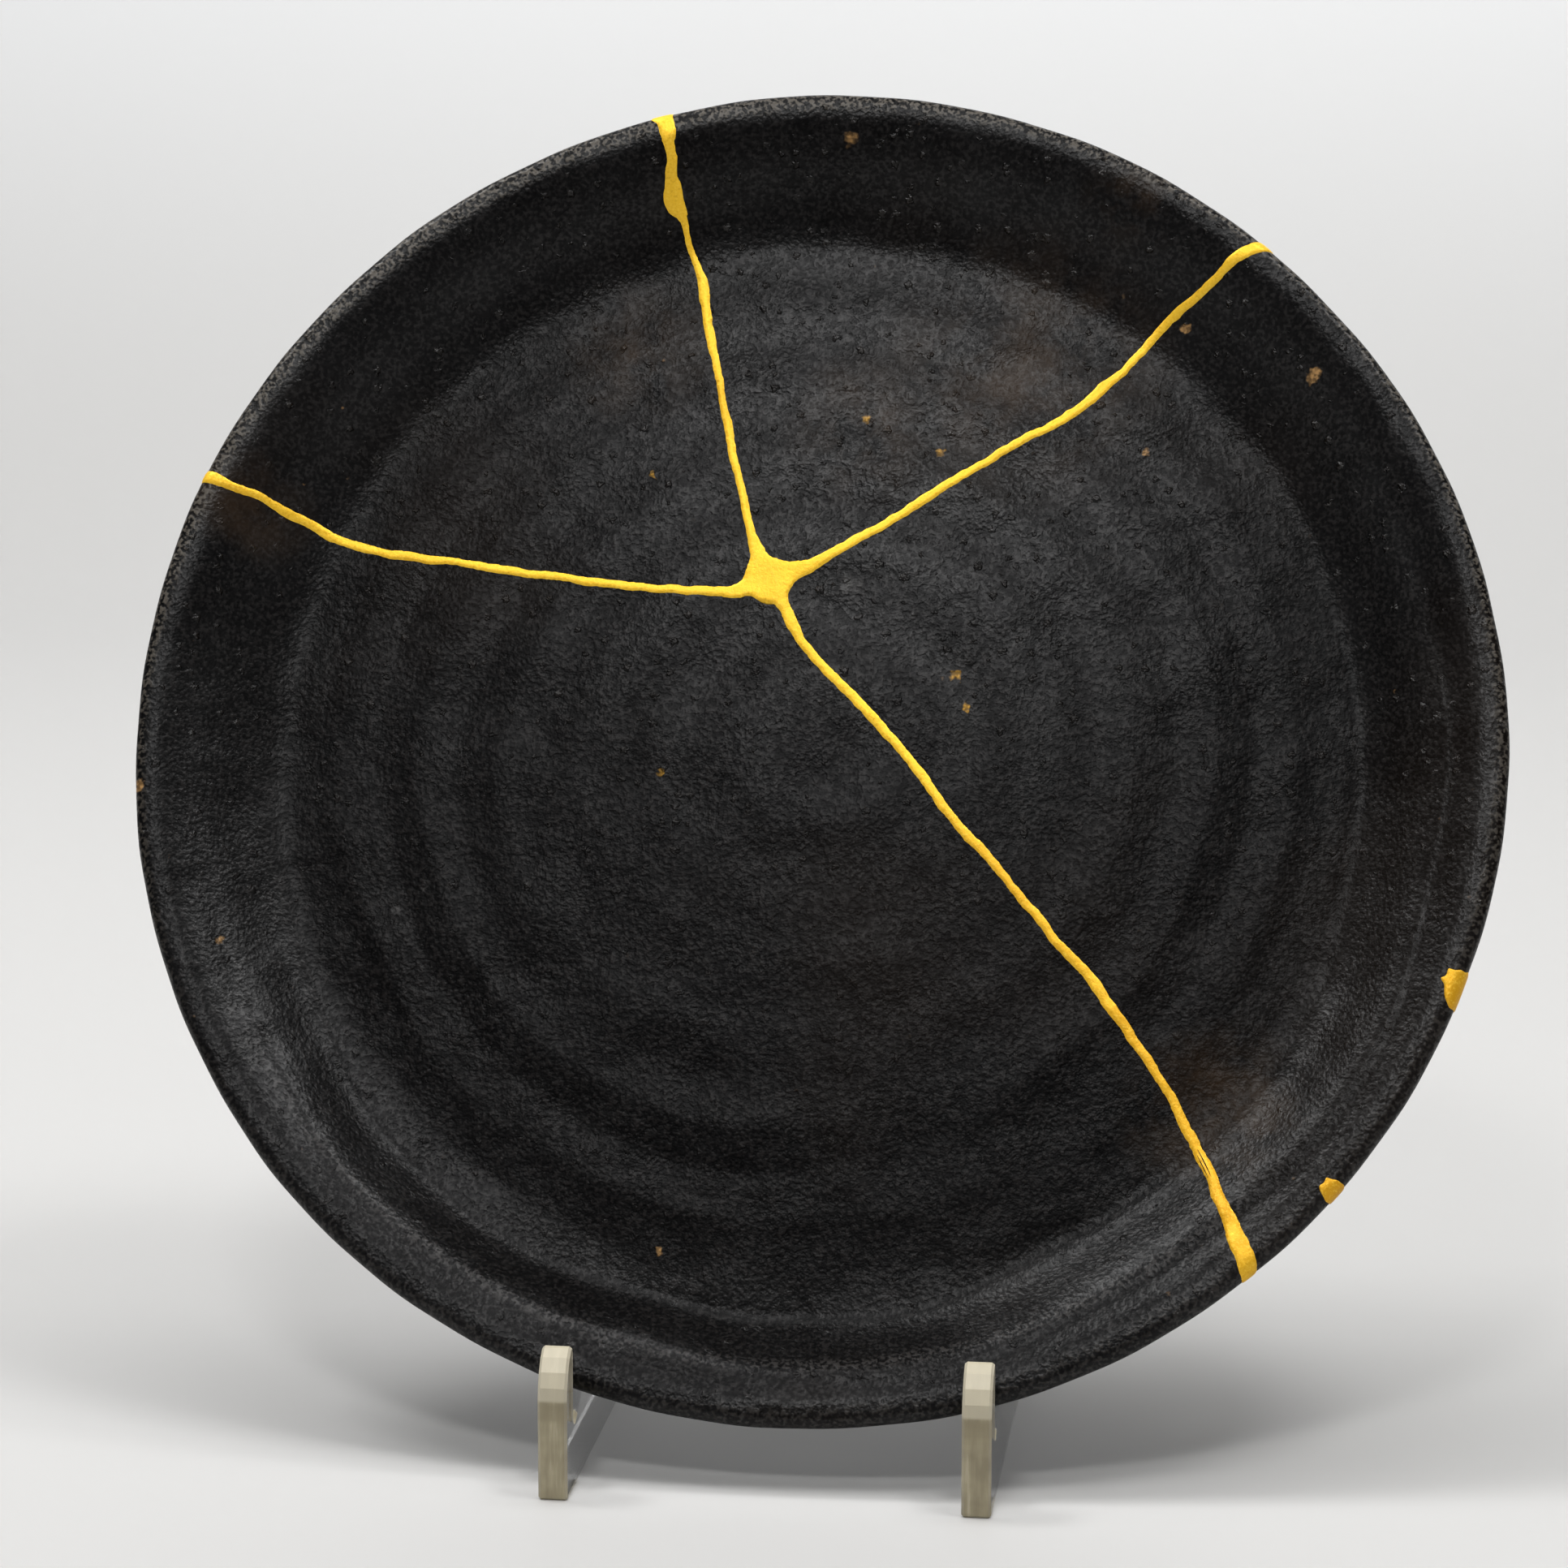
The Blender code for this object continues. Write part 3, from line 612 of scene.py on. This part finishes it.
cracks = {
    "upperRight": [(-0.065, 0.272, 3.0), (-0.036, 0.279, 2.6), (-0.010, 0.292, 1.9), (0.029, 0.317, 1.6),
                   (0.093, 0.358, 1.5),
                   (0.152, 0.399, 1.55), (0.209, 0.439, 1.35), (0.266, 0.476, 1.4), (0.325, 0.512, 1.5),
                   (0.368, 0.540, 1.7), (0.396, 0.568, 1.8), (0.432, 0.605, 1.35), (0.468, 0.647, 1.45),
                   (0.505, 0.682, 1.6), (0.542, 0.707, 1.4), (0.571, 0.729, 1.5), (0.600, 0.752, 1.9),
                   (0.629, 0.766, 2.3), (0.652, 0.777, 2.5)],
    "top": [(-0.104, 0.300, 2.2), (-0.121, 0.350, 1.4), (-0.139, 0.422, 1.3), (-0.157, 0.485, 1.45),
            (-0.170, 0.540, 1.3), (-0.180, 0.588, 1.25), (-0.194, 0.637, 1.5), (-0.206, 0.692, 1.6),
            (-0.210, 0.713, 1.95), (-0.214, 0.735, 1.6), (-0.222, 0.757, 1.3), (-0.234, 0.786, 1.05),
            (-0.242, 0.815, 1.2), (-0.250, 0.831, 2.0), (-0.257, 0.840, 2.9), (-0.260, 0.849, 3.3),
            (-0.259, 0.864, 2.8), (-0.261, 0.880, 2.0), (-0.260, 0.900, 1.75), (-0.266, 0.926, 1.8),
            (-0.269, 0.945, 2.7), (-0.273, 0.962, 2.9), (-0.281, 0.974, 4.0), (-0.284, 0.985, 3.9)],
    "left": [(-0.129, 0.243, 2.2), (-0.160, 0.241, 1.7), (-0.188, 0.241, 1.55), (-0.264, 0.245, 1.35),
             (-0.339, 0.251, 1.45),
             (-0.415, 0.261, 1.35), (-0.491, 0.269, 1.5), (-0.552, 0.279, 1.3), (-0.613, 0.285, 1.55),
             (-0.676, 0.293, 1.5), (-0.737, 0.311, 1.5), (-0.781, 0.329, 1.7), (-0.816, 0.342, 1.5),
             (-0.849, 0.355, 1.35), (-0.884, 0.363, 1.5), (-0.936, 0.381, 2.3)],
    "lowerRight": [(-0.062, 0.222, 2.1), (-0.029, 0.165, 1.55), (0.019, 0.112, 1.6), (0.073, 0.059, 1.7),
                   (0.120, 0.007, 1.5), (0.159, -0.038, 1.6), (0.204, -0.099, 1.45), (0.250, -0.147, 1.6),
                   (0.288, -0.191, 1.4), (0.326, -0.235, 1.55), (0.365, -0.282, 1.45), (0.402, -0.318, 1.7),
                   (0.431, -0.358, 1.75), (0.462, -0.398, 1.6), (0.492, -0.441, 1.5), (0.529, -0.494, 1.5),
                   (0.559, -0.551, 1.7), (0.586, -0.603, 1.8), (0.609, -0.660, 1.9), (0.633, -0.712, 2.6),
                   (0.650, -0.752, 3.0), (0.660, -0.775, 2.8)],
}
crackNames = ["upperRight", "top", "left", "lowerRight"]
shards = {"upperRight": "shard_top", "top": "shard_left", "left": "shard_bottom", "lowerRight": "shard_right"}
seam = {
    "pool": (-0.085, 0.260),
    "poolRadius": 0.0037,
    "crown": 0.00020,       # how far the gold stands proud
    "softEdge": 0.00026,
    "step": 0.0004,         # between two rows of a bead
    "skirt": 0.0009,        # how far the sheet runs on past the gold's edge, under the clay
    "wobble": 0.00011,
    "rounding": 0.00012,    # rounds the ridge where the gold's distance field folds
    "depth": 0.0009,        # how deep a bead's back lies in the clay
    "poolDepth": 0.0010,
    "blend": 0.00062,       # how softly the pool and the beads run together
}
poolPlace = np.array(seam["pool"]) * radius


def smoothed(values, spread):
    # Gaussian mean along the first axis, the ends held.
    reach = int(spread * 3)
    weights = np.exp(-0.5 * (np.arange(-reach, reach + 1) / spread) ** 2)
    padded = np.concatenate([np.repeat(values[:1], reach, 0), values, np.repeat(values[-1:], reach, 0)])
    columns = [np.convolve(column, weights / weights.sum(), "valid") for column in np.atleast_2d(padded.T)]
    return np.array(columns).T if values.ndim > 1 else columns[0]


def crackLine(name):
    # Evenly spaced places from the pool to past the rim, with the gold's width there.
    points = np.array(cracks[name])
    spots = np.column_stack([points[:, :2] * radius, points[:, 2] / 1000])
    spots[:, :2] /= ovalFactor(np.arctan2(spots[:, 1], spots[:, 0]))[:, None]
    onward = spots[-1] - spots[-3]
    onward = np.array([*(onward[:2] / np.linalg.norm(onward[:2])), 0])
    pastRim = [spots[-1] + onward * reach for reach in (0.006, 0.014, 0.024)]
    spots = np.vstack([[*poolPlace, spots[0, 2]], spots, *pastRim])
    ghost = np.vstack([2 * spots[0] - spots[1], spots, 2 * spots[-1] - spots[-2]])
    share = np.linspace(0, 1, 25)[:-1, None]
    parts = []
    for before, first, last, after in zip(ghost, ghost[1:], ghost[2:], ghost[3:]):
        bend = 2 * before - 5 * first + 4 * last - after
        twist = 3 * first - before - 3 * last + after
        parts.append(0.5 * (2 * first + (last - before) * share + bend * share ** 2 + twist * share ** 3))
    line = np.vstack(parts)
    gone = np.concatenate([[0], np.cumsum(np.linalg.norm(np.diff(line[:, :2], axis=0), axis=1))])
    picks = np.arange(0, gone[-1], seam["step"])
    line = np.column_stack([np.interp(picks, gone, line[:, column]) for column in range(3)])
    return line[:, :2], line[:, 2]


def crackPath(name):
    # The crack itself, calmer than the gold on it, with its sideways direction.
    line, _ = crackLine(name)
    path = smoothed(line, 5)
    path[0] = line[0]
    side = np.column_stack([-np.gradient(path[:, 1]), np.gradient(path[:, 0])])
    return path, side / np.linalg.norm(side, axis=1)[:, None]


def levelOf(points):
    # 0 at the pool, 1 on the circle where the rows become round about the plate's middle, 2 at the rim.
    inner = wall["split"] * radius
    apart = points - poolPlace
    square = inner ** 2 - poolPlace @ poolPlace
    along = apart @ poolPlace
    level = (along + np.sqrt(along ** 2 + square * (apart ** 2).sum(1))) / square
    outside = 1 + (np.linalg.norm(points, axis=1) - inner) / (radius - inner)
    return np.where(level < 1, level, outside)


def rowCircles(levels):
    inner = wall["split"] * radius
    inside = np.clip(levels, 0, 1)
    centres = poolPlace * (1 - inside)[:, None]
    sizes = np.where(levels < 1, inner * levels, inner + (levels - 1) * (radius - inner))
    return centres, sizes


def sideAngles(name, left, levels):
    # Where one side of a crack crosses each row's circle, as an angle about that circle's middle.
    path, side = crackPath(name)
    edge = path + side * (wall["halfGap"] if left else -wall["halfGap"])
    edgeLevels = np.maximum.accumulate(levelOf(edge))
    points = np.column_stack([np.interp(levels, edgeLevels, edge[:, axis]) for axis in (0, 1)])
    centres, _ = rowCircles(levels)
    apart = points - centres
    return np.arctan2(apart[:, 1], apart[:, 0])


def rowRadii():
    # Radii of the rows outside the split, top and under, closer together at the lip, ridge and foot.
    rows = []
    topMarks = ((plate["ridgeRadius"], 2.2), (radius, 5.0), (radius * 0.97, 1.5))
    underMarks = ((plate["footRadius"], 3.0), (plate["footRadius"] - plate["footWidth"], 3.0), (radius, 5.0))
    for line, marks in ((topLine, topMarks), (underLine, underMarks)):
        outer = line[line[:, 0] >= wall["split"] * radius]
        along = np.concatenate([[0], np.cumsum(np.hypot(*np.diff(outer, axis=0).T))])
        density = np.ones(len(outer))
        for place, weight in marks:
            density += weight * np.exp(-((outer[:, 0] - place) / 0.0014) ** 2)
        share = np.concatenate([[0], np.cumsum((density[1:] + density[:-1]) / 2 * np.diff(along))])
        picks = np.interp(np.linspace(0, share[-1], wall["outerRows"]), share, along)
        rows.append(np.column_stack([np.interp(picks, along, outer[:, axis]) for axis in (0, 1)]))
    return rows


topOuter, underOuter = rowRadii()


def wallHeight(away, top):
    line, radii = (topLine, topRadii) if top else (underLine, underRadii)
    return np.interp(away, radii, line[:, 1])


def shardGrid(first, last, columns, top):
    # Rows ring the pool near it and the plate's middle further out; columns run from one crack to the next.
    outer = topOuter if top else underOuter
    start = 0.0030 / (wall["split"] * radius)
    innerLevels = np.linspace(start, 1, wall["innerRows"])[:-1]
    outerLevels = 1 + (outer[:, 0] - wall["split"] * radius) / (radius * (1 - wall["split"]))
    levels = np.concatenate([innerLevels, outerLevels])
    centres, sizes = rowCircles(levels)
    begin = sideAngles(first, True, levels)
    sweep = (sideAngles(last, False, levels) - begin) % math.tau
    angles = begin[:, None] + sweep[:, None] * np.linspace(0, 1, columns)[None, :]
    x = centres[:, :1] + sizes[:, None] * np.cos(angles)
    y = centres[:, 1:] + sizes[:, None] * np.sin(angles)
    away = np.hypot(x, y)
    heights = wallHeight(away, top)
    heights[len(innerLevels):] = outer[:, 1][:, None]
    if top:
        heights = heights + faceRelief(x, y)
    swell = lipSwell(x, y)
    return x * swell, y * swell, heights


def buildShard(first):
    last = crackNames[(crackNames.index(first) + 1) % 4]
    span = (sideAngles(last, False, np.array([2.0])) - sideAngles(first, True, np.array([2.0]))) % math.tau
    columns = int(span[0] * radius / wall["columnLength"])
    top = toWorld(*shardGrid(first, last, columns, True))
    under = toWorld(*shardGrid(first, last, columns, False))
    grid = np.concatenate([top, under[-2::-1]])
    rows = len(grid)
    number = np.arange(rows * columns).reshape(rows, columns)
    follow = np.roll(number, -1, axis=0)
    faces = np.stack([number[:, :-1], follow[:, :-1], follow[:, 1:], number[:, 1:]], axis=-1)
    faces = faces.reshape(-1, 4).tolist()
    # Each broken side is walled between the face's row and the underside's, with a triangle at the lip
    step = np.arange((rows - 1) // 2)
    mirror = rows - 1 - step
    keep = (step + 1) < (mirror - 1)
    for column, way in ((0, 1), (columns - 1, -1)):
        edge = number[:, column]
        quad = np.stack([edge[step], edge[mirror], edge[mirror - 1], edge[step + 1]], axis=-1)
        faces += quad[keep][:, ::way].tolist() + quad[~keep][:, :3][:, ::way].tolist()
    name = shards[first]
    piece = makePiece(name + "_fired", grid.reshape(-1, 3), faces, blackClay, "ceramic", name)
    piece.data.set_sharp_from_angle(angle=math.radians(60))
    return piece


for crackName in crackNames:
    shard = buildShard(crackName)
    print("shard made:", shard.name, len(shard.data.polygons), "faces")


# Gold

def goldCrown(inside):
    # Height of the gold over the clay by the distance in from its edge; it dives under outside the edge.
    crowned = seam["crown"] * (1 - np.exp(-np.maximum(inside, 0) / seam["softEdge"]))
    return np.where(inside > 0, crowned, np.maximum(inside * 0.8, -0.0006))


def profileRun():
    # The distance along the wall's line, with its outward normal.
    along = np.concatenate([[0], np.cumsum(np.hypot(*np.diff(profile, axis=0).T))])
    slope = np.gradient(profile, along, axis=0)
    slope /= np.linalg.norm(slope, axis=1)[:, None]
    return along, np.column_stack([-slope[:, 1], slope[:, 0]])


profileAlong, profileNormal = profileRun()
lipAlong = profileAlong[lipIndex]
unrollFrom = radius * 0.93
unrollAlong = float(np.interp(unrollFrom, topRadii, profileAlong[:lipIndex + 1]))


def onWall(distance, turn, lift):
    # A point `distance` along the wall's line from the well's middle, turned, and `lift` off the clay.
    away = np.interp(distance, profileAlong, profile[:, 0])
    height = np.interp(distance, profileAlong, profile[:, 1])
    out = np.interp(distance, profileAlong, profileNormal[:, 0])
    up = np.interp(distance, profileAlong, profileNormal[:, 1])
    x, y = away * np.cos(turn), away * np.sin(turn)
    height = height + np.where(distance < lipAlong, faceRelief(x, y), 0.0)
    reach = (away + out * lift) * lipSwell(x, y)
    return toWorld(reach * np.cos(turn), reach * np.sin(turn), height + up * lift)


def onFace(x, y, lift):
    # Over the face; from near the rim on, the distance from the middle follows the wall round the lip.
    away = np.hypot(x, y)
    distance = np.where(away < unrollFrom, np.interp(away, topRadii, profileAlong[:lipIndex + 1]),
                        unrollAlong + away - unrollFrom)
    return onWall(distance, np.arctan2(y, x), lift)


def onUnderside(x, y, lift):
    away = np.hypot(x, y)
    distance = np.interp(away, underRadii, profileAlong[lipIndex:][::-1])
    return onWall(distance, np.arctan2(y, x), lift)


def closedSheet(front, back):
    # Two grids of points joined at their four borders into one closed body, front side out.
    rows, columns = front.shape[:2]
    count = rows * columns
    number = np.arange(count).reshape(rows, columns)
    quads = np.stack([number[:-1, :-1], number[1:, :-1], number[1:, 1:], number[:-1, 1:]], axis=-1)
    quads = quads.reshape(-1, 4)
    rim = np.concatenate([number[0, :-1], number[:-1, -1], number[-1, :0:-1], number[:0:-1, 0]])
    following = np.roll(rim, -1)
    borders = np.stack([rim, following, following + count, rim + count], axis=-1)
    faces = np.concatenate([quads, quads[:, ::-1] + count, borders])
    return np.concatenate([front.reshape(-1, 3), back.reshape(-1, 3)]), faces


def goldLine(name):
    # The middle line of the gold with its hand's wobble, and the width with its swellings.
    line, width = crackLine(name)
    path, side = crackPath(name)
    gone = np.arange(len(line)) * seam["step"]
    seed = crackNames.index(name) + 20
    sway = softNoise(gone, 0, 0.0075, seed, 7) + 0.5 * softNoise(gone, 0, 0.0030, seed + 9, 7)
    swelling = 0.6 * softNoise(gone, 0, 0.0060, seed + 30, 7) + 0.5 * softNoise(gone, 0, 0.0022, seed + 40, 7)
    return line + side * (seam["wobble"] * sway)[:, None], width * (1 + 0.085 * swelling)


def beadSheet(name, place, reach, stride, columns):
    # A sheet that follows the crack; its lift is the gold's height where gold lies, and sinks beside it.
    line, width = goldLine(name)
    path, side = crackPath(name)
    spread = np.linalg.norm(line - path, axis=1) + width / 2
    window = np.arange(-14, 15)
    near = np.clip(np.arange(len(line))[:, None] + window, 0, len(line) - 1)
    half = smoothed(spread[near[:, 6:23]].max(1), 4) + seam["skirt"]
    rows = np.arange(0, int((np.linalg.norm(path, axis=1) < reach).sum()), stride)
    shares = np.linspace(-1, 1, columns)
    x = path[rows, :1] + side[rows, :1] * half[rows, None] * shares
    y = path[rows, 1:] + side[rows, 1:] * half[rows, None] * shares
    goldX, goldY = line[near[rows], 0][:, None, :], line[near[rows], 1][:, None, :]
    gap = np.sqrt((x[..., None] - goldX) ** 2 + (y[..., None] - goldY) ** 2 + seam["rounding"] ** 2)
    inside = (width[near[rows]][:, None, :] / 2 - gap).max(-1)
    inside += 0.00004 * softNoise(x, y, 0.0012, 90, 11)
    return place(x, y, goldCrown(inside)), place(x, y, np.full_like(x, -seam["depth"]))


def poolSheet(place, spacing):
    # A square round the pool, its disc and the four beads run together by a soft maximum.
    reach = np.arange(-0.0085, 0.0085 + spacing / 2, spacing)
    x, y = np.meshgrid(poolPlace[0] + reach, poolPlace[1] + reach, indexing="ij")
    fromPool = np.hypot(x - poolPlace[0], y - poolPlace[1])
    fields = [seam["poolRadius"] * (1 + 0.08 * softNoise(x, y, 0.008, 61)) - fromPool]
    for name in crackNames:
        line, width = goldLine(name)
        toX, toY = x[..., None] - line[:40, 0], y[..., None] - line[:40, 1]
        gap = np.sqrt(toX ** 2 + toY ** 2 + seam["rounding"] ** 2)
        fields.append((width[:40] / 2 - gap).max(-1))
    inside = seam["blend"] * np.log(sum(np.exp(field / seam["blend"]) for field in fields))
    inside += 0.00005 * softNoise(x, y, 0.0012, 90, 11)
    lift = goldCrown(inside) + 0.00003 - 0.0007 * smoothStep((fromPool - 0.0055) / 0.0030)
    return place(x, y, np.maximum(lift, -0.0007)), place(x, y, np.full_like(x, -seam["poolDepth"]))


def buildSeam():
    corners, faces, count = [], [], 0
    lipRun = unrollFrom + float(lipAlong - unrollAlong) + 0.0060
    sheets = []
    for name in crackNames:
        sheets.append((beadSheet(name, onFace, lipRun, 1, 15), False))
        sheets.append((beadSheet(name, onUnderside, radius * 0.985, 2, 9), True))
    sheets.append((poolSheet(onFace, 0.00023), False))
    sheets.append((poolSheet(onUnderside, 0.00042), True))
    for (front, back), flip in sheets:
        points, quads = closedSheet(front, back)
        corners.append(points)
        faces.append((quads[:, ::-1] if flip else quads) + count)
        count += len(points)
    return np.concatenate(corners), np.concatenate(faces)


seamCorners, seamFaces = buildSeam()
makePiece("gold_seam_bead", seamCorners, seamFaces.tolist(), powderedGold, "repair_gold", "gold_seam")
print("gold seam made:", len(seamFaces), "faces")


chipFills = {
    # turn in degrees, half length along the rim and depth in millimetres, lean of the bay, seed
    "gold_chip_fill_right": (-20.9, 3.3, 3.3, 0.35, 71),
    "gold_chip_fill_lower": (-40.2, 1.9, 2.9, 0.0, 72),
}
for nodeName, (degrees, halfLength, depth, leaning, seed) in chipFills.items():
    # A ragged bay in from the lip, carried round the lip on the wall's own line
    span = (halfLength + 1.0) / 1000
    sideways = np.linspace(-span, span, 64)
    run = np.linspace(lipAlong - (depth + 3.6) / 1000, lipAlong + 0.0040, 80)
    distance, shift = np.meshgrid(run, sideways, indexing="ij")
    share = shift * 1000 / halfLength * (1 + 0.07 * softNoise(distance, shift, 0.0022, seed + 5))
    shape = np.clip(1 - np.abs(share) ** 2.4, 0, None) ** 0.55
    depthHere = depth * shape * (1 + leaning * share) * (1 + 0.10 * softNoise(shift, distance, 0.0021, seed))
    inward = (lipAlong - 0.0010 - distance) * 1000
    inside = np.minimum(depthHere - np.maximum(inward, 0), (1 - np.abs(share)) * halfLength * 1.2) / 1000
    inside = np.minimum(inside, (2.6 * shape - (distance - lipAlong) * 1000) / 1000)
    turns = math.radians(degrees) + shift / radius
    points, quads = closedSheet(onWall(distance, turns, goldCrown(inside - 0.0001)),
                                onWall(distance, turns, np.full_like(inside, -0.0011)))
    makePiece(nodeName + "_blob", points, quads.tolist(), powderedGold, "repair_gold", nodeName)
print("chip fills made")


# Stand: the cut sheet and the rods keep their own shape

for nodeName in ("stand_side_left", "stand_side_right", "stand_rod_lower", "stand_rod_upper"):
    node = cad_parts[nodeName]
    node.data.materials.clear()
    node.data.materials.append(sawnAcrylic)
print("stand dressed")


# Room

room = {
    "floor": (0.465, 0.46, 0.452),
    "wall": (0.69, 0.695, 0.70),
    "keyLeft": 5.0,
    "keyRight": 4.6,
    "overhead": 12.0,
    "strip": 1.2,
    "sheen": 4.4,
    "fill": 2.0,
    "backdrop": 18.5,
    "world": 0.05,
}


def buildRoom():
    # Floor that curves up into a backdrop: flat, then a quarter round, then upright.
    turn = np.linspace(0, math.pi / 2, 24)
    bend = 0.5
    flatEnd = 0.75
    profileY = np.concatenate([[-3.0], flatEnd + bend * np.sin(turn), [flatEnd + bend]])
    profileZ = np.concatenate([[0.0], bend * (1 - np.cos(turn)), [2.6]])
    sides = np.array([-3.0, 3.0])
    corners = np.stack([np.repeat(sides[None, :], len(profileY), 0), np.repeat(profileY[:, None], 2, 1),
                        np.repeat(profileZ[:, None], 2, 1)], axis=-1).reshape(-1, 3)
    number = np.arange(len(corners)).reshape(-1, 2)
    faces = np.stack([number[:-1, 0], number[:-1, 1], number[1:, 1], number[1:, 0]], axis=-1)
    mesh = bpy.data.meshes.new("sweep")
    mesh.from_pydata(corners.tolist(), [], faces.tolist())
    mesh.shade_smooth()
    material, tree, shader = newMaterial("paleSweep")
    coordinates = tree.nodes.new("ShaderNodeTexCoord")
    risen = remap(tree, split(tree, coordinates.outputs["Object"])[2], 0.0, 0.3, smooth=True)
    tree.links.new(mixColour(tree, risen, room["floor"], room["wall"]), shader.inputs["Base Color"])
    shader.inputs["Roughness"].default_value = 0.6
    mesh.materials.append(material)
    sweep = bpy.data.objects.new("sweep", mesh)
    bpy.context.scene.collection.objects.link(sweep)


def addLight(name, place, aim, width, height, energy, shines=True):
    light = bpy.data.lights.new(name, "AREA")
    light.shape = "RECTANGLE"
    light.size = width
    light.size_y = height
    light.energy = energy
    lamp = bpy.data.objects.new(name, light)
    lamp.location = place
    lamp.visible_camera = False
    lamp.visible_glossy = shines
    lamp.rotation_euler = (Vector(aim) - Vector(place)).to_track_quat("-Z", "Y").to_euler()
    bpy.context.scene.collection.objects.link(lamp)
    return lamp


buildRoom()
middle = (0, 0, 0.1)
addLight("keyLeft", (-0.58, 0.04, 1.03), middle, 0.27, 0.27, room["keyLeft"])
addLight("keyRight", (0.42, -0.18, 1.10), middle, 0.27, 0.27, room["keyRight"])
addLight("strip", (-0.05, -0.10, 1.15), middle, 0.8, 0.10, room["strip"])
# The two that light the room are left out of the glaze's shine
addLight("overhead", (0, 0.3, 1.5), (0, 0.3, 0), 2.4, 1.6, room["overhead"], shines=False)
addLight("sheen", (-0.11, -0.80, 1.08), middle, 0.22, 0.16, room["sheen"])
addLight("backdrop", (0, 0.3, 1.6), (0, 1.25, 0.5), 1.8, 0.4, room["backdrop"], shines=False)
for side in (-1, 1):
    addLight("fill", (side * 1.0, -1.3, 0.35), middle, 1.2, 0.9, room["fill"])
world = bpy.data.worlds.new("room")
world.use_nodes = True
world.node_tree.nodes["Background"].inputs[0].default_value = (1.0, 1.0, 1.0, 1.0)
world.node_tree.nodes["Background"].inputs[1].default_value = room["world"]
bpy.context.scene.world = world
print("room lit")


# Camera

view = {"azimuth": 7.114, "elevation": 10.878, "distance": 0.7485, "lens": 108.22,
        "aim": (-0.00408, 0.0, 0.10014)}
turnAway, lift = math.radians(view["azimuth"]), math.radians(view["elevation"])
back = Vector((math.sin(turnAway) * math.cos(lift), -math.cos(turnAway) * math.cos(lift), math.sin(lift)))
camera = bpy.data.objects.new("camera", bpy.data.cameras.new("camera"))
camera.data.lens = view["lens"]
camera.data.sensor_width = 36
camera.data.clip_start = 0.01
camera.location = Vector(view["aim"]) + back * view["distance"]
camera.rotation_euler = (-back).to_track_quat("-Z", "Y").to_euler()
bpy.context.scene.collection.objects.link(camera)
bpy.context.scene.camera = camera
bpy.context.scene.view_settings.view_transform = "Standard"
print("camera set")
